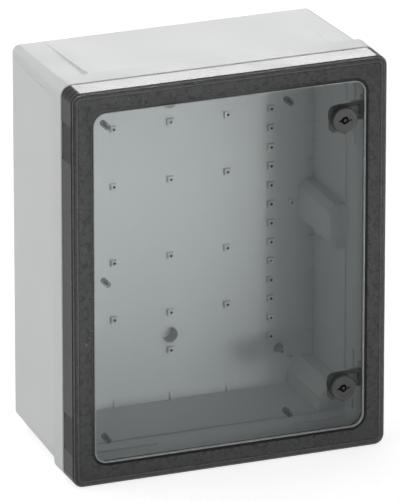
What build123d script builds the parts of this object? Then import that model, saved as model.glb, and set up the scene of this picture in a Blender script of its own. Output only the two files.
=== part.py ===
from build123d import *
import os
from math import atan2, cos, sqrt

# Moulded electrical cabinet with a hinged, smoke-tinted clear door and two quarter-turn locks.
# Millimetres. X to the right, Z up, the front faces -Y.
# The origin is the centre of the rear mounting plane.
# A depth is a distance forward from that plane. An inset is a distance inward from the outer outline.

# Outer form
WIDTH = 408.0
HEIGHT = 506.0
CORNER = 13.0
REAR_INSET_X = 8.0
REAR_INSET_Z = 10.3
REAR_CORNER = 9.0
WAIST_INSET = 4.0
WAIST_CORNER = 11.0
COLLAR_BACK = 158.8
COLLAR_LENGTH = 30.6
COLLAR_EDGE = 2.2
PAD_SIDE_MARGIN = 47.0
PAD_END_MARGIN = 25.0
DOOR_LENGTH = 36.6

# Body walls and cavity
BACK_WALL_FRONT = 23.0
BACK_WALL = 3.5
REAR_SKIRT = 4.0
CAVITY_INSET_BACK = 12.8
CAVITY_INSET_LEDGE = 12.4
CAVITY_CORNER = 8.0
LEDGE_DEPTH = 126.0
LIP_INNER_INSET = 11.0
LIP_WALL = 2.0
LIP_HEIGHT = 8.8
INNER_CORNER = 6.0
COLLAR_SKIN = 3.5
GROOVE_DEPTH = 28.0
GROOVE_RIB = 2.0
GROOVE_RIB_PITCH = 75.0
GROOVE_RIB_INSET = 26.0

# Features inside the body
TUNNEL_REACH = 21.0
TUNNEL_HEIGHT = 56.0
TUNNEL_CHAMFER = 8.5
TUNNEL_WALL = 3.0
CORNER_TUNNEL_X = 34.0
CORNER_TUNNEL_Z = 35.0
CORNER_TUNNEL_CHAMFER = 16.0
HOLE_PITCH = 25.0
TOP_ROW_INSET = 126.0
BOTTOM_ROW_INSET = 80.0
COLUMN_PITCH = 75.0
COLUMN_STEP_COUNTS = (0, 3, 7, 10)
FULL_COLUMN_INSET = 71.0
BOSS_SIDE = 8.0
BOSS_HEIGHT = 5.0
BOSS_HOLE = 1.75
BOSS_HOLE_DEPTH = 6.5
STUD_INSET = 43.0
STUD_END_INSET = 49.0
STUD_RADIUS = 4.5
STUD_HEIGHT = 3.0
STUD_HOLE_DEPTH = 5.5
GUSSET_REACH = 12.0
GUSSET_RISE = 6.0
GUSSET_THICKNESS = 1.4
RAIL_LEAD = 38.4
RAIL_INSET_NEAR = 22.0
RAIL_INSET_FAR = 60.0
RAIL_LENGTH = 78.0
RAIL_WIDTH = 4.0
RAIL_HEIGHT = 1.8
WALL_CUP_INSET = 59.0
WALL_CUP_END_INSET = 62.0
WALL_CUP_RADIUS = 9.0
WALL_CUP_BORE = 6.5
WALL_HOLE = 3.2
CENTRE_CUP_END_INSET = 99.0
CENTRE_CUP_RADIUS = 12.5
CENTRE_CUP_BORE = 10.0
CENTRE_HOLE = 3.5
CUP_FLOOR = 4.0
CUP_RING_HEIGHT = 1.0
REAR_RIB = 2.5
REAR_RIB_HEIGHT = 12.0
REAR_RIB_PITCH_X = 60.0
REAR_RIB_PITCH_Z = 77.0

# Door moulding
DOOR_GAP = 0.4
SKIRT_WALL = 3.0
FRONT_PLATE = 3.5
FRONT_EDGE = 3.0
SKIRT_EDGE = 2.4
CHANNEL_OUTER_INSET = 7.4
CHANNEL_OUTER_WALL = 1.1
CHANNEL_INNER_WALL = 1.6
CHANNEL_REACH = 4.6
CHANNEL_WEB = 2.5
GASKET_WIDTH = 4.0
GASKET_HEIGHT = 8.0
GASKET_GAP = 0.3
LATTICE_OUTER_INSET = 11.0
LATTICE_INNER_INSET = 22.5
LATTICE_HEIGHT = 10.5
LATTICE_RIB = 1.6
LATTICE_PITCH = 36.0
LATTICE_WALL = 1.5
POCKET_LENGTH = 47.0
POCKET_INSET = 63.0
WINDOW_INSET = 29.0
WINDOW_CORNER = 15.0
RECESS_DEPTH = 9.5
RECESS_WALL = 3.0
WINDOW_THICKNESS = 4.0
POST_RADIUS = 4.0
POST_HOLE = 1.4
POST_LENGTH = 16.0
POST_LEFT_INSET = 51.0
POST_RIGHT_INSET = 120.0
POST_END_INSET = 51.0

# Hinges
HINGE_END_INSET = 66.0
HINGE_LENGTH = 47.0
AXIS_INSET = 3.3
AXIS_LEAD = 4.2
KNUCKLE_RADIUS = 3.2
PIN_RADIUS = 1.5
PIN_FIT = 0.05
PIN_SEAT = 0.02
PIN_CHAMFER = 0.3
EAR_LENGTH = 7.0
HINGE_CLEARANCE = 0.4
BRACKET_INSET = 3.4
BRACKET_WIDTH = 5.2
BRACKET_PLATE = 4.5
EAR_WIDTH = 4.5
BRACKET_SCREW_INSET = 6.0
BRACKET_SCREW_Z = 8.0
BLOCK_DEPTH = 4.2
BLOCK_SEAT = 0.1
BLOCK_START = 3.9
FLANGE_LENGTH = 6.0
FLANGE_START = 14.0
FLANGE_SCREW_INSET = 5.1

# Screws of the hinges
SCREW_RADIUS = 1.2
SCREW_HEAD = 2.0
SCREW_HEAD_HEIGHT = 1.5
SCREW_BITE = 9.0
SCREW_FIT = 0.05
SCREW_TIP_GAP = 0.4
FRONT_BITE = 2.0

# Locks
LOCK_INSET = 53.0
LOCK_END_INSET = 79.0
SEAL_THICKNESS = 0.8
SEAL_RADIUS = 14.5
BEZEL_RADIUS = 16.0
BEZEL_THICKNESS = 5.0
BEZEL_EDGE = 1.0
POINTER_LENGTH = 2.2
POINTER_HALF_WIDTH = 1.6
POINTER_ROOT = 1.0
BARREL_RADIUS = 8.5
BARREL_LENGTH = 29.3
BARREL_FIT = 0.2
HEAD_RADIUS = 9.6
HEAD_THICKNESS = 3.4
HEAD_SUNK = 0.5
INSERT_RADIUS = 6.5
INSERT_FIT = 0.05
INSERT_PLAY = 0.1
SOCKET_RADIUS = 4.9
SOCKET_PIN = 2.0
SOCKET_DEPTH = 13.0
WING_HALF_WIDTH = 1.3
WING_REACH = 8.2
NUT_RADIUS = 11.6
NUT_HEIGHT = 3.0
CASE_RADIUS = 14.0
CASE_WALL = 2.0
CASE_FLOOR = 3.0
CASE_LENGTH = 12.5
CASE_ARM_START = 3.0
CASE_SIDE_GAP = 0.4
CAM_GAP = 0.3
CAM_THICKNESS = 3.0
CAM_REACH = 27.0
CAM_HALF_WIDTH = 6.5
STUB_SIDE = 7.0
STUB_FIT = 0.05
CAM_SCREW_RADIUS = 2.0
CAM_SCREW_HEAD = 5.0
CAM_SCREW_HEAD_HEIGHT = 2.5
CAM_SCREW_LENGTH = 12.0
CAM_SCREW_TIP_GAP = 1.0
CAM_SLOT_HALF_WIDTH = 0.6

# Strikes on the inner wall, which the lock cams turn behind
STRIKE_GAP = 0.8
STRIKE_TONGUE = 3.8
STRIKE_OVERLAP = 6.5
STRIKE_FOOT = 3.0
STRIKE_LENGTH = 20.0
STRIKE_HALF_HEIGHT = 12.0
STRIKE_SCREW_RADIUS = 1.7
STRIKE_SCREW_HEAD = 3.0
STRIKE_SCREW_HEAD_HEIGHT = 1.8
STRIKE_SCREW_BITE = 6.0
STRIKE_SCREW_INSET = 6.0
STRIKE_SCREW_Z = 6.5

# Places that follow from the sizes above
PARTING = COLLAR_BACK + COLLAR_LENGTH
FRONT = PARTING + DOOR_LENGTH
PLATE_BACK = FRONT - FRONT_PLATE
SKIRT_BACK = PARTING + DOOR_GAP
LIP_TOP = PARTING + LIP_HEIGHT
LIP_OUTER_INSET = LIP_INNER_INSET - LIP_WALL
GASKET_BACK = LIP_TOP + GASKET_GAP
GASKET_FRONT = GASKET_BACK + GASKET_HEIGHT
GASKET_OUTER_INSET = CHANNEL_OUTER_INSET + CHANNEL_OUTER_WALL
GASKET_INNER_INSET = GASKET_OUTER_INSET + GASKET_WIDTH
CHANNEL_BACK = PARTING + CHANNEL_REACH
WINDOW_FRONT = FRONT - RECESS_DEPTH
WINDOW_BACK = WINDOW_FRONT - WINDOW_THICKNESS
REAR_FACE_OF_WALL = BACK_WALL_FRONT - BACK_WALL
WALL_X = WIDTH / 2 - CAVITY_INSET_LEDGE
WALL_Z = HEIGHT / 2 - CAVITY_INSET_LEDGE
LIP_X = WIDTH / 2 - LIP_INNER_INSET
LIP_Z = HEIGHT / 2 - LIP_INNER_INSET
HINGE_Z = HEIGHT / 2 - HINGE_END_INSET
AXIS_X = -WIDTH / 2 + AXIS_INSET
AXIS_DEPTH = PARTING + AXIS_LEAD
NOTCH_LENGTH = HINGE_LENGTH + 2 * HINGE_CLEARANCE
KNUCKLE_LENGTH = HINGE_LENGTH - 2 * EAR_LENGTH - 2 * HINGE_CLEARANCE
BEZEL_BACK = WINDOW_FRONT + SEAL_THICKNESS
BEZEL_FRONT = BEZEL_BACK + BEZEL_THICKNESS
LOCK_X = WIDTH / 2 - LOCK_INSET
LOCK_Z = HEIGHT / 2 - LOCK_END_INSET
HEAD_FRONT = BEZEL_FRONT - HEAD_SUNK
HEAD_BACK = HEAD_FRONT - HEAD_THICKNESS
BARREL_END = BEZEL_BACK - BARREL_LENGTH
CAM_FRONT = BARREL_END - CAM_GAP
CAM_BACK = CAM_FRONT - CAM_THICKNESS
STRIKE_BACK = CAM_FRONT + STRIKE_GAP
STRIKE_FRONT = STRIKE_BACK + STRIKE_TONGUE
STRIKE_TIP = LOCK_X + CAM_REACH - STRIKE_OVERLAP
STRIKE_SCREW_DEPTH = STRIKE_FRONT - STRIKE_LENGTH + STRIKE_SCREW_INSET
STRIKE_SEAT = LIP_X - STRIKE_FOOT
TOP_ROW_Z = HEIGHT / 2 - TOP_ROW_INSET
COLUMNS = (-COLUMN_PITCH, 0.0, COLUMN_PITCH)
CENTRE_CUP_Z = HEIGHT / 2 - CENTRE_CUP_END_INSET
ROW_COUNT = int((HEIGHT - TOP_ROW_INSET - BOTTOM_ROW_INSET) // HOLE_PITCH) + 1
SIDE_ROWS = [TOP_ROW_Z - HOLE_PITCH * row for row in range(ROW_COUNT)]
BOSS_PLACES = [(x, TOP_ROW_Z - HOLE_PITCH * steps) for x in COLUMNS for steps in COLUMN_STEP_COUNTS]
BOSS_PLACES += [(0.0, SIDE_ROWS[-1])]
BOSS_PLACES += [(WIDTH / 2 - FULL_COLUMN_INSET, z) for z in SIDE_ROWS]


def corner_at(inset):
    """Corner radius of an outline at one inset."""
    return max(CORNER - inset, INNER_CORNER)


def outline(inset_x, inset_z, radius, depth):
    """A rounded rectangle that faces forward at one depth."""
    shape = RectangleRounded(WIDTH - 2 * inset_x, HEIGHT - 2 * inset_z, radius)
    return Plane.XZ.offset(depth) * shape


def slab(inset, back, front, radius=None):
    """A rounded plate at one inset, between two depths."""
    face = outline(inset, inset, radius or corner_at(inset), back)
    return extrude(face, amount=front - back)


def ring(outer, inner, back, front):
    """A wall that runs round the outline between two insets."""
    return slab(outer, back, front) - slab(inner, back, front)


def block(left, right, bottom, top, back, front):
    """A box between limits in X, Z and depth."""
    centre = Pos((left + right) / 2, -(back + front) / 2, (bottom + top) / 2)
    return centre * Box(right - left, front - back, top - bottom)


def rod(x, z, radius, back, front):
    """A cylinder along the depth."""
    return Plane.XZ.offset(back) * Pos(x, z) * extrude(Circle(radius), amount=front - back)


def upright(radius, length, z):
    """A cylinder on the hinge axis."""
    return Pos(AXIS_X, -AXIS_DEPTH, z) * Cylinder(radius, length)


def mirrored(shape, plane=Plane.YZ):
    """The shape and its mirror image."""
    return shape + mirror(shape, about=plane)


# Body

def outer_form():
    """The tapered body with its flush pads and the front collar."""
    rear = outline(REAR_INSET_X, REAR_INSET_Z, REAR_CORNER, 0)
    waist = outline(WAIST_INSET, WAIST_INSET, WAIST_CORNER, COLLAR_BACK)
    form = loft([rear, waist])
    half_rear_x = WIDTH / 2 - REAR_INSET_X
    half_rear_z = HEIGHT / 2 - REAR_INSET_Z
    side_profile = Plane.XY * Polygon(
        (-half_rear_x, 0), (half_rear_x, 0),
        (WIDTH / 2, -COLLAR_BACK), (-WIDTH / 2, -COLLAR_BACK), align=None)
    form += extrude(side_profile, amount=HEIGHT / 2 - PAD_END_MARGIN, both=True)
    end_profile = Plane.YZ * Polygon(
        (0, -half_rear_z), (0, half_rear_z),
        (-COLLAR_BACK, HEIGHT / 2), (-COLLAR_BACK, -HEIGHT / 2), align=None)
    form += extrude(end_profile, amount=WIDTH / 2 - PAD_SIDE_MARGIN, both=True)
    collar = slab(0, COLLAR_BACK, PARTING)
    collar = fillet(collar.edges().group_by(Axis.Y)[0], COLLAR_EDGE)
    return form + collar


def cavity():
    """The drafted inside, which steps outward at the ledge."""
    back = outline(CAVITY_INSET_BACK, CAVITY_INSET_BACK, CAVITY_CORNER, BACK_WALL_FRONT)
    ledge = outline(CAVITY_INSET_LEDGE, CAVITY_INSET_LEDGE, CAVITY_CORNER, LEDGE_DEPTH)
    front = slab(LIP_INNER_INSET, LEDGE_DEPTH, LIP_TOP)
    return loft([back, ledge]) + front


def rear_recess():
    """The space behind the back wall, inside the rear skirt."""
    inset_x = REAR_INSET_X + REAR_SKIRT
    inset_z = REAR_INSET_Z + REAR_SKIRT
    return extrude(outline(inset_x, inset_z, INNER_CORNER, 0), amount=REAR_FACE_OF_WALL)


def rear_ribs():
    """Stiffening ribs on the rear face of the back wall."""
    half_x = WIDTH / 2 - REAR_INSET_X - REAR_SKIRT
    half_z = HEIGHT / 2 - REAR_INSET_Z - REAR_SKIRT
    start = REAR_FACE_OF_WALL - REAR_RIB_HEIGHT
    upright_rib = block(-REAR_RIB / 2, REAR_RIB / 2, -half_z, half_z, start, REAR_FACE_OF_WALL)
    level_rib = block(-half_x, half_x, -REAR_RIB / 2, REAR_RIB / 2, start, REAR_FACE_OF_WALL)
    count_x = int(half_x // REAR_RIB_PITCH_X)
    count_z = int(half_z // REAR_RIB_PITCH_Z)
    ribs = [Pos(step * REAR_RIB_PITCH_X, 0, 0) * upright_rib for step in range(-count_x, count_x + 1)]
    return ribs + [Pos(0, 0, step * REAR_RIB_PITCH_Z) * level_rib
                   for step in range(-count_z, count_z + 1)]


def groove():
    """The open channel between the collar skin and the lip, with its cross ribs."""
    start = PARTING - GROOVE_DEPTH
    channel = ring(COLLAR_SKIN, LIP_OUTER_INSET, start, PARTING)
    half_x = WIDTH / 2
    half_z = HEIGHT / 2
    webs = []
    steps_z = int((half_z - GROOVE_RIB_INSET) // GROOVE_RIB_PITCH)
    for step in range(-steps_z, steps_z + 1):
        z = step * GROOVE_RIB_PITCH
        webs.append(block(-half_x, half_x, z - GROOVE_RIB / 2, z + GROOVE_RIB / 2, start, PARTING))
    steps_x = int((half_x - GROOVE_RIB_INSET) // GROOVE_RIB_PITCH)
    for step in range(-steps_x, steps_x + 1):
        x = step * GROOVE_RIB_PITCH
        webs.append(block(x - GROOVE_RIB / 2, x + GROOVE_RIB / 2, -half_z, half_z, start, PARTING))
    for z in (-HINGE_Z, HINGE_Z):
        half = HINGE_LENGTH / 2 + COLLAR_SKIN
        webs.append(block(-half_x, 0, z - half, z + half, start, PARTING))
    for z in (-LOCK_Z, LOCK_Z):
        half = STRIKE_HALF_HEIGHT
        webs.append(block(0, half_x, z - half, z + half, start, PARTING))
    return channel - webs


def tunnel_section(reach, height, chamfer):
    """Section of a side tunnel that stands in from the wall at the origin."""
    return Polygon(
        (0, -height / 2), (reach - chamfer, -height / 2), (reach, -height / 2 + chamfer),
        (reach, height / 2 - chamfer), (reach - chamfer, height / 2), (0, height / 2), align=None)


def corner_section(reach_x, reach_z, chamfer):
    """Section of a corner tunnel whose far corner is the origin."""
    return Polygon(
        (0, 0), (reach_x, 0), (reach_x, reach_z - chamfer),
        (reach_x - chamfer, reach_z), (0, reach_z), align=None)


def chamfer_inside(size):
    """The chamfer left on the inside of a tunnel's wall."""
    return size - TUNNEL_WALL * (2 - sqrt(2))


def tunnels():
    """The six tunnels as solids and as the pockets that hollow them from the rear."""
    side = tunnel_section(TUNNEL_REACH, TUNNEL_HEIGHT, TUNNEL_CHAMFER)
    side_core = tunnel_section(TUNNEL_REACH - TUNNEL_WALL, TUNNEL_HEIGHT - 2 * TUNNEL_WALL,
                               chamfer_inside(TUNNEL_CHAMFER))
    recess_z = HEIGHT / 2 - REAR_INSET_Z - REAR_SKIRT
    core_z = CORNER_TUNNEL_Z - TUNNEL_WALL - WALL_Z + recess_z
    corner = corner_section(CORNER_TUNNEL_X, CORNER_TUNNEL_Z, CORNER_TUNNEL_CHAMFER)
    corner_core = corner_section(CORNER_TUNNEL_X - TUNNEL_WALL, core_z,
                                 chamfer_inside(CORNER_TUNNEL_CHAMFER))
    mouth = REAR_FACE_OF_WALL - REAR_RIB_HEIGHT
    solids = []
    cores = []
    for section, core, z, hollow_z in (
            (side, side_core, 0, 0), (corner, corner_core, WALL_Z, recess_z)):
        place = Plane.XZ.offset(REAR_FACE_OF_WALL) * Pos(-WALL_X, -z)
        solid = extrude(place * section, amount=LEDGE_DEPTH - REAR_FACE_OF_WALL)
        place = Plane.XZ.offset(mouth) * Pos(-WALL_X, -hollow_z)
        hollow = extrude(place * core, amount=LEDGE_DEPTH - TUNNEL_WALL - mouth)
        solids.append(mirrored(solid))
        cores.append(mirrored(hollow))
        if z:
            solids.append(mirror(solids[-1], about=Plane.XY))
            cores.append(mirror(cores[-1], about=Plane.XY))
    return solids, cores


def bosses():
    """The square screw bosses of the back wall, the round studs and all their holes."""
    top = BACK_WALL_FRONT + BOSS_HEIGHT
    half = BOSS_SIDE / 2
    solids = []
    holes = []
    for x, z in BOSS_PLACES:
        solids.append(block(x - half, x + half, z - half, z + half, REAR_FACE_OF_WALL, top))
        holes.append(rod(x, z, BOSS_HOLE, top - BOSS_HOLE_DEPTH, top))
    stud_top = BACK_WALL_FRONT + STUD_HEIGHT
    stud_x = WIDTH / 2 - STUD_INSET
    stud_z = HEIGHT / 2 - STUD_END_INSET
    for x in (-stud_x, stud_x):
        for z in (-stud_z, 0, stud_z):
            solids.append(rod(x, z, STUD_RADIUS, REAR_FACE_OF_WALL, stud_top))
            holes.append(rod(x, z, BOSS_HOLE, stud_top - STUD_HOLE_DEPTH, stud_top))
    return solids, holes


def cups():
    """The cups that reach back to the wall, their bores and screw holes."""
    solids = []
    holes = []
    cup_x = WIDTH / 2 - WALL_CUP_INSET
    cup_z = HEIGHT / 2 - WALL_CUP_END_INSET
    places = [(x, z, WALL_CUP_RADIUS, WALL_CUP_BORE, WALL_HOLE)
              for x in (-cup_x, cup_x) for z in (-cup_z, cup_z)]
    places += [(0, z, CENTRE_CUP_RADIUS, CENTRE_CUP_BORE, CENTRE_HOLE)
               for z in (-CENTRE_CUP_Z, CENTRE_CUP_Z)]
    top = BACK_WALL_FRONT + CUP_RING_HEIGHT
    for x, z, radius, bore, hole in places:
        solids.append(rod(x, z, radius, 0, top))
        holes.append(rod(x, z, bore, CUP_FLOOR, top))
        holes.append(rod(x, z, hole, 0, CUP_FLOOR))
    return solids, holes


def gussets():
    """Thin triangular ribs in the corner between the back wall and the other walls."""
    tip_x = WALL_X - GUSSET_REACH
    tip_z = WALL_Z - GUSSET_REACH
    rise = BACK_WALL_FRONT + GUSSET_RISE
    level = Plane.XY * Polygon(
        (WALL_X, -REAR_FACE_OF_WALL), (tip_x, -REAR_FACE_OF_WALL),
        (tip_x, -BACK_WALL_FRONT), (WALL_X, -rise), align=None)
    rib = mirrored(extrude(level, amount=GUSSET_THICKNESS / 2, both=True))
    standing = Plane.YZ * Polygon(
        (-REAR_FACE_OF_WALL, -WALL_Z), (-REAR_FACE_OF_WALL, -tip_z),
        (-BACK_WALL_FRONT, -tip_z), (-rise, -WALL_Z), align=None)
    foot = mirrored(extrude(standing, amount=GUSSET_THICKNESS / 2, both=True), Plane.XY)
    clear = TUNNEL_HEIGHT / 2 + GUSSET_THICKNESS
    solids = [Pos(0, 0, z) * rib for z in SIDE_ROWS if abs(z) > clear]
    return solids + [Pos(x, 0, 0) * foot for x in COLUMNS]


def rails():
    """Short rails on the inner walls, two beside each corner, the same after half a turn."""
    back = PARTING - RAIL_LEAD - RAIL_WIDTH / 2
    front = back + RAIL_WIDTH
    solids = []
    for inset, side in ((RAIL_INSET_FAR, 1), (RAIL_INSET_NEAR, -1)):
        end_x = WIDTH / 2 - inset
        end_z = HEIGHT / 2 - inset
        upright_rail = block(
            LIP_X - RAIL_HEIGHT, LIP_X + LIP_WALL / 2, end_z - RAIL_LENGTH, end_z, back, front)
        level_rail = block(
            end_x - RAIL_LENGTH, end_x, LIP_Z - RAIL_HEIGHT, LIP_Z + LIP_WALL / 2, back, front)
        pair = upright_rail + level_rail
        if side < 0:
            pair = mirror(pair, about=Plane.XY)
        solids += [pair, Rot(0, 180, 0) * pair]
    return solids


def bracket_space(z):
    """The pocket and screw holes in the collar for one hinge bracket."""
    left = -WIDTH / 2 + BRACKET_INSET
    half = HINGE_LENGTH / 2
    floor = PARTING - BRACKET_PLATE
    space = block(left, left + BRACKET_WIDTH, z - half, z + half, floor, PARTING)
    for offset in (-BRACKET_SCREW_Z, BRACKET_SCREW_Z):
        x = -WIDTH / 2 + BRACKET_SCREW_INSET
        space += rod(x, z + offset, SCREW_RADIUS + PIN_SEAT, floor - SCREW_BITE, floor)
    return space


def strike_screw_places(z):
    """Where the two screws of a strike stand."""
    return [z - STRIKE_SCREW_Z, z + STRIKE_SCREW_Z]


def strike_bore(z, radius, left, right):
    """A cylinder along X at a strike screw's height."""
    middle = Pos((left + right) / 2, -STRIKE_SCREW_DEPTH, z)
    return middle * Rot(0, 90, 0) * Cylinder(radius, right - left)


def body_shell():
    """The whole moulded body."""
    tunnel_solids, tunnel_cores = tunnels()
    boss_solids, boss_holes = bosses()
    cup_solids, cup_holes = cups()
    lip = ring(LIP_OUTER_INSET, LIP_INNER_INSET, PARTING, LIP_TOP)
    body = outer_form() - cavity() - rear_recess() - groove()
    body = body + [lip, *rails(), *tunnel_solids, *rear_ribs(), *gussets()]
    body = body - tunnel_cores
    body = body + boss_solids + cup_solids
    strike_holes = [strike_bore(screw_z, STRIKE_SCREW_RADIUS + PIN_SEAT, LIP_X, LIP_X + STRIKE_SCREW_BITE)
                    for z in (-LOCK_Z, LOCK_Z) for screw_z in strike_screw_places(z)]
    pockets = [bracket_space(z) for z in (-HINGE_Z, HINGE_Z)]
    return body - boss_holes - cup_holes - strike_holes - pockets


# Hinges

def hinge_bracket(z):
    """The fixed half of a hinge: a plate sunk in the collar with two ears."""
    left = -WIDTH / 2 + BRACKET_INSET
    half = HINGE_LENGTH / 2
    floor = PARTING - BRACKET_PLATE
    bracket = block(left, left + BRACKET_WIDTH, z - half, z + half, floor, PARTING)
    for side in (-1, 1):
        middle = z + side * (half - EAR_LENGTH / 2)
        low = middle - EAR_LENGTH / 2
        bracket += upright(KNUCKLE_RADIUS, EAR_LENGTH, middle)
        bracket += block(left, AXIS_X + EAR_WIDTH, low, low + EAR_LENGTH, floor, AXIS_DEPTH)
    bracket -= upright(PIN_RADIUS + PIN_SEAT, HINGE_LENGTH, z)
    for offset in (-BRACKET_SCREW_Z, BRACKET_SCREW_Z):
        x = -WIDTH / 2 + BRACKET_SCREW_INSET
        bracket -= rod(x, z + offset, SCREW_RADIUS + SCREW_FIT, floor, PARTING)
        bracket -= rod(x, z + offset, SCREW_HEAD + SCREW_FIT, PARTING - SCREW_HEAD_HEIGHT, PARTING)
    return bracket


def hinge_pin(z):
    """The pin through both ears and the door block's knuckle."""
    pin = upright(PIN_RADIUS, HINGE_LENGTH, z)
    return chamfer(pin.edges().filter_by(GeomType.CIRCLE), PIN_CHAMFER)


def hinge_block(z):
    """The moving half of a hinge, which fills a notch of the door's skirt."""
    half = (NOTCH_LENGTH - 2 * BLOCK_SEAT) / 2
    left = -WIDTH / 2
    right = left + SKIRT_WALL + BLOCK_DEPTH
    knuckle = KNUCKLE_LENGTH / 2
    piece = block(left, right, z - half, z + half, AXIS_DEPTH + BLOCK_START, PLATE_BACK)
    piece += block(left, AXIS_X + KNUCKLE_RADIUS, z - knuckle, z + knuckle,
                   AXIS_DEPTH, AXIS_DEPTH + BLOCK_START)
    piece += upright(KNUCKLE_RADIUS, KNUCKLE_LENGTH, z)
    flange = half + FLANGE_LENGTH
    start = AXIS_DEPTH + FLANGE_START
    piece += block(left + SKIRT_WALL, right, z - flange, z + flange, start, PLATE_BACK)
    piece -= upright(PIN_RADIUS + PIN_FIT, NOTCH_LENGTH, z)
    for x, screw_z in flange_screw_places(z):
        piece -= rod(x, screw_z, SCREW_RADIUS + SCREW_FIT, start, PLATE_BACK)
    return piece


def flange_screw_places(z):
    """Where the two screws of a door hinge block stand."""
    reach = (NOTCH_LENGTH - 2 * BLOCK_SEAT + FLANGE_LENGTH) / 2
    return [(-WIDTH / 2 + FLANGE_SCREW_INSET, z + side * reach) for side in (-1, 1)]


def screw(x, z, head_back, length):
    """A screw with its head behind, driven forward."""
    body = rod(x, z, SCREW_HEAD, head_back, head_back + SCREW_HEAD_HEIGHT)
    tip = head_back + SCREW_HEAD_HEIGHT + length
    return body + rod(x, z, SCREW_RADIUS, head_back + SCREW_HEAD_HEIGHT, tip)


def bracket_screws():
    """The four screws that hold the brackets, driven rearward into the collar."""
    x = -WIDTH / 2 + BRACKET_SCREW_INSET
    under_head = PARTING - SCREW_HEAD_HEIGHT
    screws = []
    for z in (-HINGE_Z, HINGE_Z):
        for offset in (-BRACKET_SCREW_Z, BRACKET_SCREW_Z):
            tip = PARTING - BRACKET_PLATE - SCREW_BITE + SCREW_TIP_GAP
            piece = rod(x, z + offset, SCREW_RADIUS, tip, under_head)
            screws.append(piece + rod(x, z + offset, SCREW_HEAD, under_head, PARTING))
    return Compound(children=screws)


def block_screws():
    """The four screws that hold the hinge blocks to the door."""
    head_back = AXIS_DEPTH + FLANGE_START - SCREW_HEAD_HEIGHT
    length = PLATE_BACK + FRONT_BITE - AXIS_DEPTH - FLANGE_START
    places = flange_screw_places(-HINGE_Z) + flange_screw_places(HINGE_Z)
    return Compound(children=[screw(x, z, head_back, length) for x, z in places])


# Door

def door_skin():
    """The outer skirt and front plate, with rounded edges and the window opening."""
    skin = slab(0, SKIRT_BACK, FRONT)
    edges = skin.edges().group_by(Axis.Y)
    skin = fillet(edges[0], FRONT_EDGE)
    skin = fillet(skin.edges().group_by(Axis.Y)[-1], SKIRT_EDGE)
    skin -= slab(SKIRT_WALL, SKIRT_BACK, PLATE_BACK)
    return skin - slab(WINDOW_INSET, PLATE_BACK, FRONT, WINDOW_CORNER)


def window_tray():
    """The sunk window and the wall that carries it."""
    outer = WINDOW_INSET - RECESS_WALL
    tray = slab(outer, WINDOW_BACK, PLATE_BACK, WINDOW_CORNER + RECESS_WALL)
    return tray - slab(WINDOW_INSET, WINDOW_FRONT, PLATE_BACK, WINDOW_CORNER)


def gasket_channel():
    """The channel behind the front plate that holds the gasket."""
    outer_wall = ring(CHANNEL_OUTER_INSET, GASKET_OUTER_INSET, CHANNEL_BACK, PLATE_BACK)
    inner_inset = GASKET_INNER_INSET + CHANNEL_INNER_WALL
    web = ring(CHANNEL_OUTER_INSET, inner_inset, GASKET_FRONT, GASKET_FRONT + CHANNEL_WEB)
    inner_wall = ring(GASKET_INNER_INSET, inner_inset, CHANNEL_BACK, GASKET_FRONT)
    return [outer_wall, web, inner_wall]


def zigzag(length, outer, inner):
    """A zigzag rib along X between two heights, centred on the origin."""
    count = max(2, round(length / (LATTICE_PITCH / 2)))
    step = length / count
    line = [(-length / 2 + step * i, inner if i % 2 else outer) for i in range(count + 1)]
    half = LATTICE_RIB / 2 / cos(atan2(outer - inner, step))
    points = [(x, y - half) for x, y in line] + [(x, y + half) for x, y in reversed(line)]
    return Polygon(*points, align=None)


def lattice():
    """The zigzag stiffening ribs between the pockets on all four sides."""
    start = PLATE_BACK - LATTICE_HEIGHT
    ribs = [ring(LATTICE_INNER_INSET, LATTICE_INNER_INSET + LATTICE_WALL, start, PLATE_BACK)]
    for half_span, half_cross, pocket in (
            (WIDTH / 2, HEIGHT / 2, WIDTH / 2 - POCKET_INSET), (HEIGHT / 2, WIDTH / 2, HINGE_Z)):
        turn = 0 if half_span == WIDTH / 2 else 90
        half = pocket - POCKET_LENGTH / 2
        section = zigzag(
            2 * half - 2 * LATTICE_RIB, half_cross - LATTICE_OUTER_INSET,
            half_cross - LATTICE_INNER_INSET)
        for flip in (0, 180):
            place = Plane.XZ.offset(start) * Rot(0, 0, turn + flip)
            ribs.append(extrude(place * section, amount=LATTICE_HEIGHT))
            for edge in (-pocket - POCKET_LENGTH / 2, -half, half, pocket + POCKET_LENGTH / 2):
                bar = Pos(edge, half_cross - (LATTICE_OUTER_INSET + LATTICE_INNER_INSET) / 2)
                bar_face = bar * Rectangle(LATTICE_RIB, LATTICE_INNER_INSET - LATTICE_OUTER_INSET)
                ribs.append(extrude(place * bar_face, amount=LATTICE_HEIGHT))
    return ribs


def window_posts():
    """The small hollow posts behind the window."""
    left = -WIDTH / 2 + POST_LEFT_INSET
    right = WIDTH / 2 - POST_RIGHT_INSET
    end = HEIGHT / 2 - POST_END_INSET
    places = [(x, z) for x in (left, right) for z in (-end, end)] + [(left, 0)]
    start = WINDOW_BACK - POST_LENGTH
    posts = [rod(x, z, POST_RADIUS, start, WINDOW_BACK) for x, z in places]
    holes = [rod(x, z, POST_HOLE, start, WINDOW_BACK) for x, z in places]
    return posts, holes


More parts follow.
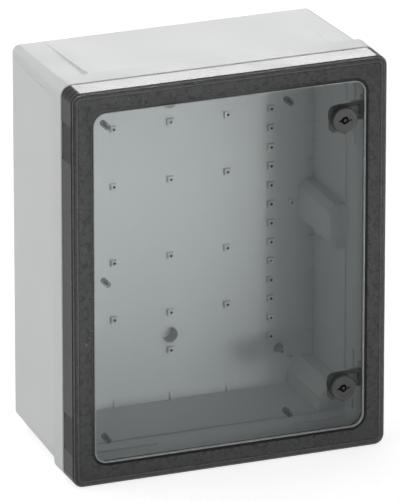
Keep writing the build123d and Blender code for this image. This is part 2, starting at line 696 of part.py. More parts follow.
def door_panel():
    """The clear door in one piece."""
    posts, holes = window_posts()
    panel = door_skin() + window_tray() + gasket_channel() + lattice() + posts
    panel = panel - holes
    for z in (-HINGE_Z, HINGE_Z):
        half = NOTCH_LENGTH / 2
        left = -WIDTH / 2
        panel -= block(left, left + SKIRT_WALL, z - half, z + half, SKIRT_BACK, PLATE_BACK)
        for x, screw_z in flange_screw_places(z):
            tip = PLATE_BACK + FRONT_BITE
            panel -= rod(x, screw_z, SCREW_RADIUS + PIN_SEAT, PLATE_BACK, tip)
    for z in (-LOCK_Z, LOCK_Z):
        panel -= rod(LOCK_X, z, BARREL_RADIUS + BARREL_FIT, WINDOW_BACK, WINDOW_FRONT)
    return panel


def door_gasket():
    """The foamed seal in the door's channel."""
    return ring(GASKET_OUTER_INSET, GASKET_INNER_INSET, GASKET_BACK, GASKET_FRONT)


# Locks

def lock_bezel(z):
    """The round flange with its pointer and the threaded barrel."""
    flange = rod(LOCK_X, z, BEZEL_RADIUS, BEZEL_BACK, BEZEL_FRONT)
    flange = chamfer(flange.edges().filter_by(GeomType.CIRCLE).group_by(Axis.Y)[0], BEZEL_EDGE)
    tip = z - BEZEL_RADIUS - POINTER_LENGTH
    pointer = Plane.XZ.offset(BEZEL_BACK) * Polygon(
        (LOCK_X - POINTER_HALF_WIDTH, z - BEZEL_RADIUS + POINTER_ROOT), (LOCK_X, tip),
        (LOCK_X + POINTER_HALF_WIDTH, z - BEZEL_RADIUS + POINTER_ROOT), align=None)
    bezel = flange + extrude(pointer, amount=BEZEL_THICKNESS - BEZEL_EDGE)
    bezel += rod(LOCK_X, z, BARREL_RADIUS, BARREL_END, BEZEL_BACK)
    bezel -= rod(LOCK_X, z, HEAD_RADIUS + INSERT_FIT, HEAD_BACK - INSERT_PLAY, BEZEL_FRONT)
    return bezel - rod(LOCK_X, z, INSERT_RADIUS + INSERT_FIT, BARREL_END, HEAD_BACK)


def lock_seal(z):
    """The flat ring between the bezel and the window."""
    seal = rod(LOCK_X, z, SEAL_RADIUS, WINDOW_FRONT, BEZEL_BACK)
    return seal - rod(LOCK_X, z, BARREL_RADIUS + BARREL_FIT, WINDOW_FRONT, BEZEL_BACK)


def lock_nut(z):
    """The flat hexagon nut that clamps the lock."""
    front = WINDOW_BACK - CASE_FLOOR
    face = Plane.XZ.offset(front - NUT_HEIGHT) * Pos(LOCK_X, z) * RegularPolygon(NUT_RADIUS, 6)
    nut = extrude(face, amount=NUT_HEIGHT)
    return nut - rod(LOCK_X, z, BARREL_RADIUS + PIN_SEAT, front - NUT_HEIGHT, front)


def case_section(z, wall):
    """The round outline of the lock case with its arm to the right, moved in by a wall."""
    right = WIDTH / 2 - WINDOW_INSET - CASE_SIDE_GAP - wall
    radius = CASE_RADIUS - wall
    low = CASE_ARM_START + wall
    arm = Pos((LOCK_X + right) / 2, z + (low + radius) / 2) * Rectangle(right - LOCK_X, radius - low)
    return Plane.XZ * (Pos(LOCK_X, z) * Circle(radius) + arm)


def lock_case(z):
    """The cup-shaped case behind the window."""
    back = WINDOW_BACK - CASE_LENGTH
    case = Pos(0, -back, 0) * extrude(case_section(z, 0), amount=CASE_LENGTH)
    case -= Pos(0, -back, 0) * extrude(case_section(z, CASE_WALL), amount=CASE_LENGTH - CASE_FLOOR)
    return case - rod(LOCK_X, z, BARREL_RADIUS + BARREL_FIT, back, WINDOW_BACK)


def lock_insert(z):
    """The turning insert with its double-bit socket and the square stub for the cam."""
    insert = rod(LOCK_X, z, HEAD_RADIUS, HEAD_BACK, HEAD_FRONT)
    insert += rod(LOCK_X, z, INSERT_RADIUS, CAM_FRONT, HEAD_BACK)
    half = STUB_SIDE / 2
    insert += block(LOCK_X - half, LOCK_X + half, z - half, z + half, CAM_BACK, CAM_FRONT)
    floor = HEAD_FRONT - SOCKET_DEPTH
    socket = rod(LOCK_X, z, SOCKET_RADIUS, floor, HEAD_FRONT)
    socket += block(LOCK_X - WING_REACH, LOCK_X + WING_REACH, z - WING_HALF_WIDTH,
                    z + WING_HALF_WIDTH, HEAD_BACK, HEAD_FRONT)
    socket -= rod(LOCK_X, z, SOCKET_PIN, floor, HEAD_FRONT)
    insert -= socket
    return insert - rod(LOCK_X, z, CAM_SCREW_RADIUS + PIN_SEAT, CAM_BACK, CAM_BACK + CAM_SCREW_LENGTH)


def lock_cam(z):
    """The cam, which hangs down when the lock is open."""
    middle = (CAM_REACH - CAM_HALF_WIDTH) / 2
    face = Pos(0, -middle) * SlotOverall(CAM_REACH + CAM_HALF_WIDTH, 2 * CAM_HALF_WIDTH, 90)
    face -= Rectangle(STUB_SIDE + 2 * STUB_FIT, STUB_SIDE + 2 * STUB_FIT)
    return extrude(Plane.XZ.offset(CAM_BACK) * Pos(LOCK_X, z) * face, amount=CAM_THICKNESS)


def cam_screw(z):
    """The screw that holds the cam on the insert."""
    head = rod(LOCK_X, z, CAM_SCREW_HEAD, CAM_BACK - CAM_SCREW_HEAD_HEIGHT, CAM_BACK)
    slot = block(LOCK_X - CAM_SCREW_HEAD, LOCK_X + CAM_SCREW_HEAD,
                 z - CAM_SLOT_HALF_WIDTH, z + CAM_SLOT_HALF_WIDTH,
                 CAM_BACK - CAM_SCREW_HEAD_HEIGHT, CAM_BACK - CAM_SCREW_HEAD_HEIGHT / 2)
    tip = CAM_BACK + CAM_SCREW_LENGTH - CAM_SCREW_TIP_GAP
    return head - slot + rod(LOCK_X, z, CAM_SCREW_RADIUS, CAM_BACK, tip)


def lock_strike(z):
    """The angle on the inner wall, with the tongue that the cam turns behind."""
    low = z - STRIKE_HALF_HEIGHT
    high = z + STRIKE_HALF_HEIGHT
    strike = block(STRIKE_SEAT, LIP_X, low, high, STRIKE_FRONT - STRIKE_LENGTH, STRIKE_FRONT)
    strike += block(STRIKE_TIP, LIP_X, low, high, STRIKE_BACK, STRIKE_FRONT)
    return strike - [strike_bore(screw_z, STRIKE_SCREW_RADIUS + SCREW_FIT, STRIKE_SEAT, LIP_X)
                     for screw_z in strike_screw_places(z)]


def strike_screws():
    """The four screws that hold the strikes to the inner wall."""
    head_end = STRIKE_SEAT - STRIKE_SCREW_HEAD_HEIGHT
    tip = LIP_X + STRIKE_SCREW_BITE - SCREW_TIP_GAP
    screws = []
    for z in (-LOCK_Z, LOCK_Z):
        for screw_z in strike_screw_places(z):
            head = strike_bore(screw_z, STRIKE_SCREW_HEAD, head_end, STRIKE_SEAT)
            screws.append(head + strike_bore(screw_z, STRIKE_SCREW_RADIUS, STRIKE_SEAT, tip))
    return Compound(children=screws)


os.makedirs("parts", exist_ok=True)
export_step(body_shell(), "parts/body_shell.step")
export_step(door_panel(), "parts/door_panel.step")
export_step(door_gasket(), "parts/door_gasket.step")
export_step(bracket_screws(), "parts/hinge_bracket_screws.step")
export_step(block_screws(), "parts/hinge_block_screws.step")
export_step(strike_screws(), "parts/strike_screws.step")
for level, place in (("upper", 1), ("lower", -1)):
    for make in (hinge_bracket, hinge_pin, hinge_block):
        export_step(make(place * HINGE_Z), f"parts/{make.__name__}_{level}.step")
    for make in (lock_bezel, lock_seal, lock_nut, lock_case, lock_insert, lock_cam, cam_screw,
                 lock_strike):
        export_step(make(place * LOCK_Z), f"parts/{make.__name__}_{level}.step")
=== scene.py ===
from math import cos, radians, sin

import bpy
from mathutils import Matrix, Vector

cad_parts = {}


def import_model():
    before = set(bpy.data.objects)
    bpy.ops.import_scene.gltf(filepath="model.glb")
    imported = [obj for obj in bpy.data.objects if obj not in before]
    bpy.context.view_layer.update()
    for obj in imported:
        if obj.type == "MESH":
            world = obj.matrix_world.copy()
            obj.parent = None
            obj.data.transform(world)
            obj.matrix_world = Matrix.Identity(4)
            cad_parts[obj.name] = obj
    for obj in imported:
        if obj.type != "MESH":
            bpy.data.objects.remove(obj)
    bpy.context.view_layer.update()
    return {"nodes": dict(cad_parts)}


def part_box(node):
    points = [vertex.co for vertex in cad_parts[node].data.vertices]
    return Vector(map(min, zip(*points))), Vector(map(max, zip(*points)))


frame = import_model()

# Places that come from the frame
DOOR_LOW, DOOR_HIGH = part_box("door_panel")
LOCK_CENTRE = (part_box("cam_screw_upper")[0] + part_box("cam_screw_upper")[1]) / 2
FLOOR_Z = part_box("body_shell")[0].z

# The view of the photograph
VIEW_AZIMUTH = radians(21.35)
VIEW_ELEVATION = radians(20.54)
VIEW_DISTANCE = 9.809
VIEW_TARGET = Vector((0.00985, -0.100, -0.01703))
LENS = 575.3
SENSOR = 36.0
CLIP_END = 60.0

# Sizes of the door and its locks that their materials follow, in metres
OUTER_CORNER = 0.0130
WINDOW_INSET = 0.0290
WINDOW_CORNER = 0.0150
TRAY_WALL = 0.0028
# Widths of the painted highlight along the window's lip and of the painted dark reflection just
# outside it
PAINTED_LIP_HIGHLIGHT_WIDTH = 0.0011
PAINTED_DARK_REFLECTION_WIDTH = 0.0020
SKIRT_THICKNESS = 0.0030
PLATE_THICKNESS = 0.0035
WINDOW_DEPTH = 0.0135
LATTICE_OUTER = 0.0110
LATTICE_INNER = 0.0225
LATTICE_RIB = 0.0011
LATTICE_RUNS = (
    # axis along, axis across, length of the run, length of one leg of the zigzag
    ("X", "Z", 0.2318, 0.01783),
    ("Z", "X", 0.3238, 0.01799),
)
KEYHOLE_RADIUS = 0.0051

# How far a zone reaches past a face, so that it holds the whole face
MARGIN = 0.0002
POST_MARGIN = 0.0003

# How much of the light the smoke plastic stops, from 0 to 1. The skirt's value also holds for
# what stands behind the plate.
WINDOW_DENSITY = 0.03
PLATE_DENSITY = 0.78
SKIRT_DENSITY = 0.82
LIP_DENSITY = 0.92
POST_DENSITY = 0.45

# How much of the light the smoke plastic mirrors face on, and how much more where it is seen
# at a grazing angle
FACE_SHINE = 0.012
EDGE_SHINE = 0.5
SHINE_POWER = 5.0

# Greys of the smoke plastic, as pairs of where each starts and its level: inward from the
# door's outline on the plate, rearward from its front on the skirt. A reach ends its scale,
# and each grey has its green and blue raised by one share.
# On the plate, the first two greys are a painted dark line and a painted highlight along the
# rounded outer edge; the later ones are bands parallel to it.
PLATE_GREYS = (
    (0.0, 0.012), (0.0009, 0.200), (0.0022, 0.050), (0.0038, 0.100), (0.0064, 0.190),
    (0.0077, 0.055), (0.0092, 0.098))
PLATE_REACH = 0.03
SKIRT_GREYS = (
    (0.0, 0.010), (0.0037, 0.110), (0.0060, 0.020), (0.0120, 0.075), (0.0150, 0.030),
    (0.0250, 0.055), (0.0300, 0.012))
SKIRT_REACH = 0.04
COOLER = 1.02

# Colours
WHITE = (1, 1, 1, 1)
CLEAR_TINT = (0.962, 0.978, 0.980, 1)
LATTICE_GREY = (0.110, 0.112, 0.112, 1)
INNER_GREY = (0.085, 0.087, 0.087, 1)
# Painted dark reflection just outside the window's lip, and painted highlight along the lip
PAINTED_DARK_REFLECTION = (0.009, 0.009, 0.009, 1)
PAINTED_LIP_HIGHLIGHT = (0.52, 0.53, 0.53, 1)
# Painted shade in the bosses' screw holes
PAINTED_HOLE_SHADE = (0.05, 0.05, 0.05, 1)
# Painted shade in the keyhole, over its walls and pin
PAINTED_KEYHOLE_SHADE = (0.014, 0.014, 0.014, 1)
PAPER_GREY = (0.50, 0.50, 0.50, 1)
LOCK_COLOUR = (0.041, 0.043, 0.042)

# How strongly the lattice's grey covers the plate's, and how far streaks change every grey
LATTICE_SHARE = 0.6
STREAK_CHANGE = 0.12

# Sizes of the body that its material follows, in metres
LEDGE_DEPTH = 0.126
LEDGE_REACH = 0.004
RAIL_DEPTH = 0.151
RAIL_REACH = 0.005
BOSS_COLUMN_PITCH = 0.075
BOSS_ROW_PITCH = 0.025
BOSS_ROW_Z = 0.127
BOSS_SIDE_COLUMN = 0.133
BACK_WALL_DEPTH = 0.0230
BOSS_HOLE_MIDDLE = 0.0245
BOSS_HOLE_HALF = 0.00345
BOSS_HOLE = 0.0018

# The radius by which plastic edges look rounded, and what the ledge and the rails add to it
EDGE_RADIUS = 0.0003
EXTRA_EDGE_RADIUS = 0.0022

# The texture of moulded plastic: noise scales in cells per metre, the height and strength of
# the grain, and how far the colour and the roughness change
CLOUD_SCALE = 9.0
GRAIN_SCALE = 900.0
GRAIN_HEIGHT = 0.000004
GRAIN_STRENGTH = 0.35
COLOUR_CHANGE = 0.015
SMOOTHER, ROUGHER = 0.04, 0.05

# The range that most noise values lie in
NOISE_LOW, NOISE_HIGH = 0.3, 0.7

# Light and floor
WORLD_STRENGTH = 0.16
FLOOR_SIZE = 12.0
FLOOR_DROP = 0.0005
PAPER_LIFT = 0.78
LAMPS = (
    # name, place, aim, width and height in metres, power in watts, spread in degrees
    ("key_strip", (0.9, -2.9, 0.02), (0, -0.1, -0.03), 1.9, 0.4, 18.0, 180.0),
    ("key_spot", (0.7, -2.9, 0.10), (-0.08, 0, 0.045), 0.5, 0.4, 0.27, 14.0),
    ("top_box", (-0.3, 0.4, 2.6), (0, -0.1, 0), 1.8, 1.8, 20.0, 180.0),
    ("left_box", (-2.6, 0.5, 1.1), (0, -0.1, 0), 2.3, 2.3, 34.0, 180.0),
    ("right_box", (2.5, 1.6, 0.8), (0, -0.1, 0), 1.9, 1.9, 21.0, 180.0),
    ("rear_strip", (1.02, 2.42, 1.30), (0, -0.2, 0.25), 0.9, 0.35, 8.6, 180.0),
)


def node(tree, kind, inputs=None, **settings):
    """A shader node with its settings and its inputs, each a value or an output to link."""
    made = tree.nodes.new(kind)
    for key, value in settings.items():
        setattr(made, key, value)
    for key, value in (inputs or {}).items():
        if isinstance(value, bpy.types.NodeSocket):
            tree.links.new(value, made.inputs[key])
        else:
            made.inputs[key].default_value = value
    return made


def maths(tree, operation, first, second=0.0):
    """The result of one operation on one or two values."""
    return node(tree, "ShaderNodeMath", {0: first, 1: second}, operation=operation).outputs[0]


def length_of(tree, first, second):
    """The length of a vector of two numbers."""
    squares = [maths(tree, "MULTIPLY", value, value) for value in (first, second)]
    return maths(tree, "SQRT", maths(tree, "ADD", squares[0], squares[1]))


def near(tree, value, middle, reach):
    """One where a value is within reach of a middle."""
    away = maths(tree, "ABSOLUTE", maths(tree, "SUBTRACT", value, middle))
    return maths(tree, "LESS_THAN", away, reach)


def mixed(tree, share, first, second):
    """The first colour, or the second where the share is one."""
    made = node(tree, "ShaderNodeMix", {0: share, 6: first, 7: second}, data_type="RGBA")
    return made.outputs[2]


def empty_material(name):
    """A material with only an output, its tree, and its object coordinates."""
    material = bpy.data.materials.new(name)
    material.use_nodes = True
    tree = material.node_tree
    tree.nodes.clear()
    output = node(tree, "ShaderNodeOutputMaterial")
    place = node(tree, "ShaderNodeTexCoord").outputs["Object"]
    return material, tree, output, place


def noise(tree, place, scale, detail=2.0):
    """Noise, with its scale in cells per metre."""
    made = node(tree, "ShaderNodeTexNoise", {"Vector": place, "Scale": scale, "Detail": detail})
    return made.outputs["Fac"]


def spread(tree, value, low, high):
    """A noise value moved to a range."""
    made = node(tree, "ShaderNodeMapRange", {
        "Value": value, "From Min": NOISE_LOW, "From Max": NOISE_HIGH,
        "To Min": low, "To Max": high})
    return made.outputs["Result"]


def tinted(tree, value, colour, change):
    """A colour that varies by a share with a noise value."""
    darker = [c * (1 - change) for c in colour]
    lighter = [min(1.0, c * (1 + change)) for c in colour]
    return mixed(tree, value, (*darker, 1), (*lighter, 1))


def grain(tree, place, radius, samples):
    """The normal of a fine moulded texture on edges that look rounded."""
    fine = noise(tree, place, GRAIN_SCALE)
    rounded = node(tree, "ShaderNodeBevel", {"Radius": radius}, samples=samples)
    bump = node(tree, "ShaderNodeBump", {
        "Height": fine, "Strength": GRAIN_STRENGTH, "Distance": GRAIN_HEIGHT,
        "Normal": rounded.outputs[0]})
    return bump.outputs[0]


def satin(tree, output, clouds, colour, roughness, normal, specular=0.5):
    """Joins a satin plastic shader to a material's output."""
    shader = node(tree, "ShaderNodeBsdfPrincipled", {
        "Base Color": colour,
        "Roughness": spread(tree, clouds, roughness - SMOOTHER, roughness + ROUGHER),
        "Normal": normal, "IOR": 1.5, "Specular IOR Level": specular})
    tree.links.new(shader.outputs[0], output.inputs[0])


def plastic(name, colour, roughness, specular=0.5):
    """Moulded plastic with a fine texture, slightly uneven in colour and gloss."""
    material, tree, output, place = empty_material(name)
    clouds = noise(tree, place, CLOUD_SCALE, detail=3.0)
    tone = tinted(tree, clouds, colour, COLOUR_CHANGE)
    normal = grain(tree, place, EDGE_RADIUS, samples=4)
    satin(tree, output, clouds, tone, roughness, normal, specular)
    return material


def bore_mask(tree, parts):
    """One inside the bores of the back wall's bosses, and not on the wall between them: where the
    shell gets painted shade.
    """
    row = maths(tree, "SUBTRACT", parts.outputs["Z"], BOSS_ROW_Z)
    row = maths(tree, "PINGPONG", row, BOSS_ROW_PITCH / 2)
    column = maths(tree, "PINGPONG", parts.outputs["X"], BOSS_COLUMN_PITCH / 2)
    side = maths(tree, "SUBTRACT", parts.outputs["X"], BOSS_SIDE_COLUMN)
    column = maths(tree, "MINIMUM", column, maths(tree, "ABSOLUTE", side))
    in_circle = maths(tree, "LESS_THAN", length_of(tree, row, column), BOSS_HOLE)
    in_bore = near(tree, parts.outputs["Y"], -BOSS_HOLE_MIDDLE, BOSS_HOLE_HALF)
    on_wall = near(tree, parts.outputs["Y"], -BACK_WALL_DEPTH, MARGIN)
    deep = maths(tree, "MULTIPLY", in_bore, maths(tree, "SUBTRACT", 1.0, on_wall))
    return maths(tree, "MULTIPLY", in_circle, deep)


def shell_plastic(name, colour, roughness):
    """The body's plastic, with soft edges at the ledge and the rails and painted shade in the
    screw holes.
    """
    material, tree, output, place = empty_material(name)
    parts = node(tree, "ShaderNodeSeparateXYZ", {0: place})
    clouds = noise(tree, place, CLOUD_SCALE, detail=3.0)
    ledge = near(tree, parts.outputs["Y"], -LEDGE_DEPTH, LEDGE_REACH)
    rail = near(tree, parts.outputs["Y"], -RAIL_DEPTH, RAIL_REACH)
    softer = maths(tree, "MULTIPLY", maths(tree, "MAXIMUM", ledge, rail), EXTRA_EDGE_RADIUS)
    radius = maths(tree, "ADD", softer, EDGE_RADIUS)
    tone = tinted(tree, clouds, colour, COLOUR_CHANGE)
    # Painted shade inside the bosses' screw holes
    shade = mixed(tree, bore_mask(tree, parts), tone, PAINTED_HOLE_SHADE)
    satin(tree, output, clouds, shade, roughness, grain(tree, place, radius, samples=6))
    return material


def rubber(name, colour):
    """Foamed rubber with a pitted skin."""
    material, tree, output, place = empty_material(name)
    pits = noise(tree, place, scale=1500.0, detail=3.0)
    bump = node(tree, "ShaderNodeBump", {"Height": pits, "Strength": 0.5, "Distance": 0.0001})
    shader = node(tree, "ShaderNodeBsdfPrincipled", {
        "Base Color": tinted(tree, pits, colour, change=0.3),
        "Roughness": spread(tree, pits, low=0.7, high=0.9), "Normal": bump.outputs[0]})
    tree.links.new(shader.outputs[0], output.inputs[0])
    return material


def steel(name, colour, roughness):
    """Plated steel with faint clouding and fine scratches."""
    material, tree, output, place = empty_material(name)
    clouds = noise(tree, place, scale=120.0, detail=4.0)
    stretch = node(tree, "ShaderNodeMapping", {"Vector": place, "Scale": (1.0, 1.0, 12.0)})
    lines = noise(tree, stretch.outputs[0], scale=900.0)
    bump = node(tree, "ShaderNodeBump", {"Height": lines, "Strength": 0.2, "Distance": 0.00002})
    shader = node(tree, "ShaderNodeBsdfPrincipled", {
        "Base Color": tinted(tree, clouds, colour, change=0.08), "Metallic": 1.0,
        "Roughness": spread(tree, clouds, low=roughness - 0.06, high=roughness + 0.1),
        "Normal": bump.outputs[0]})
    tree.links.new(shader.outputs[0], output.inputs[0])
    return material


def door_place(tree, parts, axis):
    """Distance from the door's middle along an axis, and how far the door reaches there."""
    middle = getattr((DOOR_LOW + DOOR_HIGH) / 2, axis.lower())
    reach = getattr((DOOR_HIGH - DOOR_LOW) / 2, axis.lower())
    return maths(tree, "ABSOLUTE", maths(tree, "SUBTRACT", parts.outputs[axis], middle)), reach


def inset_from(tree, parts, inset, radius):
    """Distance inward from a rounded outline that lies at an inset of the door's own."""
    sides = []
    for axis in ("X", "Z"):
        away, reach = door_place(tree, parts, axis)
        sides.append(maths(tree, "SUBTRACT", away, reach - inset - radius))
    beyond = length_of(tree, *[maths(tree, "MAXIMUM", side, 0.0) for side in sides])
    within = maths(tree, "MINIMUM", maths(tree, "MAXIMUM", sides[0], sides[1]), 0.0)
    return maths(tree, "SUBTRACT", radius, maths(tree, "ADD", beyond, within))


def lattice_mask(tree, parts):
    """One where a zigzag rib stands behind the border."""
    masks = []
    for along, across, length, step in LATTICE_RUNS:
        away, reach = door_place(tree, parts, across)
        inset = maths(tree, "SUBTRACT", reach, away)
        start = maths(tree, "ADD", parts.outputs[along], length / 2)
        wave = maths(tree, "PINGPONG", maths(tree, "DIVIDE", start, step), 1.0)
        rise = maths(tree, "MULTIPLY", wave, LATTICE_INNER - LATTICE_OUTER)
        line = maths(tree, "ADD", rise, LATTICE_OUTER)
        on_rib = near(tree, inset, line, LATTICE_RIB)
        in_run = near(tree, parts.outputs[along], 0.0, length / 2)
        masks.append(maths(tree, "MULTIPLY", on_rib, in_run))
    return maths(tree, "MAXIMUM", masks[0], masks[1])


def steps(tree, value, top, levels):
    """Colours that follow a value in steps, each given as where it starts and its grey level."""
    share = maths(tree, "DIVIDE", value, top)
    ramp = node(tree, "ShaderNodeValToRGB", {0: share})
    colours = ramp.color_ramp
    colours.interpolation = "CONSTANT"
    colours.elements.remove(colours.elements[1])
    for index, (place, level) in enumerate(levels):
        stop = colours.elements[0] if index == 0 else colours.elements.new(place / top)
        stop.position = place / top
        stop.color = (level, level * COOLER, level * COOLER, 1)
    return ramp.outputs[0]


def smoke_density(tree, in_window, in_plate, in_post, off_skirt):
    """How much of the light the smoke plastic stops at each place."""
    on_border = maths(tree, "MULTIPLY", in_plate, off_skirt)
    border = node(tree, "ShaderNodeMapRange", {
        "Value": on_border, "To Min": SKIRT_DENSITY, "To Max": PLATE_DENSITY})
    with_window = node(tree, "ShaderNodeMix", {
        0: in_window, 2: border.outputs["Result"], 3: WINDOW_DENSITY}, data_type="FLOAT")
    density = with_window.outputs[0]
    window_lip = maths(tree, "MULTIPLY", in_window, in_plate)
    for mask, least in ((window_lip, LIP_DENSITY), (in_post, POST_DENSITY)):
        density = maths(tree, "MAXIMUM", density, maths(tree, "MULTIPLY", mask, least))
    return density


def smoke_grey(tree, parts, inset, inward, depth, in_plate, off_skirt):
    """The grey of the smoke plastic: lines where its ribs stand behind the border, bands parallel
    to its edges, a painted dark line and a painted highlight along its rounded outer edge, and a
    painted dark reflection and a painted highlight at the window's lip.
    """
    plate = steps(tree, inset, PLATE_REACH, PLATE_GREYS)
    on_lattice = maths(tree, "MULTIPLY", lattice_mask(tree, parts), LATTICE_SHARE)
    plate = mixed(tree, on_lattice, plate, LATTICE_GREY)
    # Painted dark reflection just outside the window's lip, then a painted highlight along the
    # lip's front edge
    for start, colour in ((-PAINTED_DARK_REFLECTION_WIDTH, PAINTED_DARK_REFLECTION), (TRAY_WALL - PAINTED_LIP_HIGHLIGHT_WIDTH, PAINTED_LIP_HIGHLIGHT)):
        plate = mixed(tree, maths(tree, "GREATER_THAN", inward, start), plate, colour)
    skirt = steps(tree, depth, SKIRT_REACH, SKIRT_GREYS)
    inner = mixed(tree, off_skirt, skirt, INNER_GREY)
    return mixed(tree, in_plate, inner, plate)


def smoke(name):
    """Smoke-tinted clear plastic: a thin tint over the window and a dense one in the border."""
    material, tree, output, place = empty_material(name)
    parts = node(tree, "ShaderNodeSeparateXYZ", {0: place})
    inset = inset_from(tree, parts, 0.0, OUTER_CORNER)
    inward = maths(tree, "ADD", inset_from(tree, parts, WINDOW_INSET, WINDOW_CORNER), TRAY_WALL)
    depth = maths(tree, "SUBTRACT", parts.outputs["Y"], DOOR_LOW.y)
    in_window = maths(tree, "GREATER_THAN", inward, 0.0)
    in_plate = maths(tree, "LESS_THAN", depth, PLATE_THICKNESS + MARGIN)
    off_skirt = maths(tree, "GREATER_THAN", inset, SKIRT_THICKNESS + MARGIN)
    behind = maths(tree, "GREATER_THAN", depth, WINDOW_DEPTH + POST_MARGIN)
    in_post = maths(tree, "MULTIPLY", in_window, behind)
    density = smoke_density(tree, in_window, in_plate, in_post, off_skirt)
    grey = smoke_grey(tree, parts, inset, inward, depth, in_plate, off_skirt)
    clouds = noise(tree, place, scale=14.0)
    streaks = noise(tree, place, scale=160.0, detail=3.0)
    uneven = node(tree, "ShaderNodeHueSaturation", {
        "Value": spread(tree, streaks, 1 - STREAK_CHANGE, 1 + STREAK_CHANGE), "Color": grey})
    facing = node(tree, "ShaderNodeLayerWeight", {"Blend": 0.5}).outputs["Facing"]
    edge = maths(tree, "MULTIPLY", maths(tree, "POWER", facing, SHINE_POWER), EDGE_SHINE)
    shine = maths(tree, "ADD", edge, FACE_SHINE)
    clear = node(tree, "ShaderNodeBsdfTransparent", {"Color": CLEAR_TINT})
    body = node(tree, "ShaderNodeBsdfDiffuse", {"Color": uneven.outputs[0]})
    wavy = node(tree, "ShaderNodeBump", {"Height": clouds, "Strength": 0.3, "Distance": 0.002})
    gloss = node(tree, "ShaderNodeBsdfGlossy", {
        "Color": WHITE, "Roughness": spread(tree, clouds, low=0.07, high=0.14),
        "Normal": wavy.outputs[0]})
    tint = node(tree, "ShaderNodeMixShader", {0: density, 1: clear.outputs[0], 2: body.outputs[0]})
    whole = node(tree, "ShaderNodeMixShader", {0: shine, 1: tint.outputs[0], 2: gloss.outputs[0]})
    tree.links.new(whole.outputs[0], output.inputs[0])
    return material


def lock_finish(name, colour):
    """Lock plastic with painted shade inside the keyhole, over the hole's walls and its pin."""
    material, tree, output, place = empty_material(name)
    parts = node(tree, "ShaderNodeSeparateXYZ", {0: place})
    across = maths(tree, "SUBTRACT", parts.outputs["X"], LOCK_CENTRE.x)
    height = maths(tree, "ABSOLUTE", parts.outputs["Z"])
    along = maths(tree, "SUBTRACT", height, abs(LOCK_CENTRE.z))
    # Painted shade within the keyhole's radius of each lock's axis
    in_hole = maths(tree, "LESS_THAN", length_of(tree, across, along), KEYHOLE_RADIUS)
    fine = noise(tree, place, scale=2500.0)
    bump = node(tree, "ShaderNodeBump", {"Height": fine, "Strength": 0.15, "Distance": 0.00001})
    tone = tinted(tree, noise(tree, place, scale=60.0), colour, change=0.05)
    shader = node(tree, "ShaderNodeBsdfPrincipled", {
        "Base Color": mixed(tree, in_hole, tone, PAINTED_KEYHOLE_SHADE),
        "Roughness": spread(tree, fine, low=0.45, high=0.55),
        "Normal": bump.outputs[0], "IOR": 1.45})
    tree.links.new(shader.outputs[0], output.inputs[0])
    return material


def dress():
    """Gives every CAD node its material."""
    shell = shell_plastic("light_grey_plastic", (0.69, 0.705, 0.698), roughness=0.42)
    hinge = plastic("hinge_plastic", (0.014, 0.015, 0.015), roughness=0.55, specular=0.25)
    lock = plastic("lock_plastic", LOCK_COLOUR, roughness=0.58)
    case = plastic("case_plastic", (0.030, 0.031, 0.032), roughness=0.45)
    seal = rubber("seal_rubber", (0.012, 0.012, 0.012))
    door = smoke("smoke_plastic")
    pin = steel("pin_steel", (0.55, 0.55, 0.54), roughness=0.30)
    zinc = steel("zinc_steel", (0.60, 0.60, 0.57), roughness=0.38)
    strike = plastic("strike_plastic", (0.55, 0.565, 0.56), roughness=0.45)
    cam = steel("cam_steel", (0.085, 0.085, 0.082), roughness=0.68)
    insert = lock_finish("insert_plastic", LOCK_COLOUR)
    finishes = {
        "body_shell": shell, "door_panel": door, "door_gasket": seal, "hinge_bracket": hinge,
        "hinge_block": hinge, "hinge_pin": pin, "lock_bezel": lock, "lock_insert": insert,
        "lock_seal": seal, "lock_nut": case, "lock_case": case, "lock_cam": cam,
        "lock_strike": strike, "cam_screw": zinc, "strike_screws": zinc,
        "hinge_bracket_screws": zinc, "hinge_block_screws": zinc}
    for name, part in frame["nodes"].items():
        finish = finishes.get(name) or finishes[name.rsplit("_", 1)[0]]
        part.data.materials.clear()
        part.data.materials.append(finish)


def shown(tree):
    """One for rays that show the backdrop: to the camera, in gloss, and through glass."""
    ray = node(tree, "ShaderNodeLightPath").outputs
    seen = maths(tree, "MAXIMUM", ray["Is Camera Ray"], ray["Is Transmission Ray"])
    return maths(tree, "MAXIMUM", seen, ray["Is Glossy Ray"])


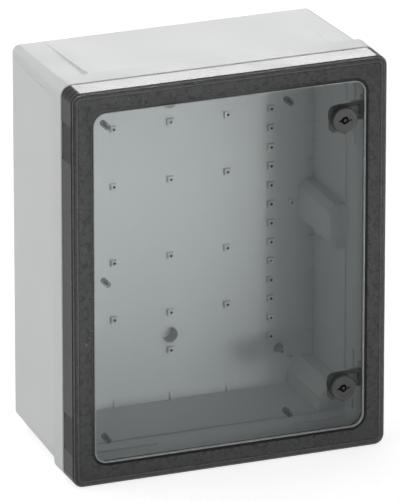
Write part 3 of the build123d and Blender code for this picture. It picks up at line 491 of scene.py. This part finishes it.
def floor():
    """A plain pale floor that keeps a soft shadow and reads white to the camera."""
    bpy.ops.mesh.primitive_plane_add(size=FLOOR_SIZE, location=(0, 0, FLOOR_Z - FLOOR_DROP))
    plane = bpy.context.object
    plane.name = "floor"
    material, tree, output, _ = empty_material("floor_paper")
    paper = node(tree, "ShaderNodeBsdfDiffuse", {"Color": PAPER_GREY})
    lift = node(tree, "ShaderNodeEmission", {
        "Color": WHITE, "Strength": maths(tree, "MULTIPLY", shown(tree), PAPER_LIFT)})
    both = node(tree, "ShaderNodeAddShader", {0: paper.outputs[0], 1: lift.outputs[0]})
    tree.links.new(both.outputs[0], output.inputs[0])
    plane.data.materials.append(material)


def world():
    """Even studio light, white to the camera."""
    made = bpy.data.worlds.new("studio")
    bpy.context.scene.world = made
    made.use_nodes = True
    tree = made.node_tree
    tree.nodes.clear()
    extra = maths(tree, "MULTIPLY", shown(tree), 1.0 - WORLD_STRENGTH)
    strength = maths(tree, "ADD", extra, WORLD_STRENGTH)
    light = node(tree, "ShaderNodeBackground", {"Color": WHITE, "Strength": strength})
    output = node(tree, "ShaderNodeOutputWorld")
    tree.links.new(light.outputs[0], output.inputs[0])


def lamp(name, place, aim, width, height, power, angle):
    """A soft box at a place, aimed at a point. A narrow spread angle stands for a grid."""
    data = bpy.data.lights.new(name, "AREA")
    data.shape = "RECTANGLE"
    data.size = width
    data.size_y = height
    data.energy = power
    data.spread = radians(angle)
    made = bpy.data.objects.new(name, data)
    made.location = place
    made.rotation_euler = (Vector(aim) - Vector(place)).to_track_quat("-Z", "Y").to_euler()
    bpy.context.scene.collection.objects.link(made)


def camera():
    """The camera at the photograph's viewing angle."""
    back = Vector((-sin(VIEW_AZIMUTH) * cos(VIEW_ELEVATION),
                   -cos(VIEW_AZIMUTH) * cos(VIEW_ELEVATION), sin(VIEW_ELEVATION)))
    data = bpy.data.cameras.new("camera")
    data.lens = LENS
    data.sensor_width = SENSOR
    data.clip_end = CLIP_END
    made = bpy.data.objects.new("camera", data)
    made.location = VIEW_TARGET + back * VIEW_DISTANCE
    made.rotation_euler = (-back).to_track_quat("-Z", "Y").to_euler()
    bpy.context.scene.collection.objects.link(made)
    bpy.context.scene.camera = made


dress()
floor()
world()
for row in LAMPS:
    lamp(*row)
camera()
bpy.context.scene.view_settings.view_transform = "Standard"
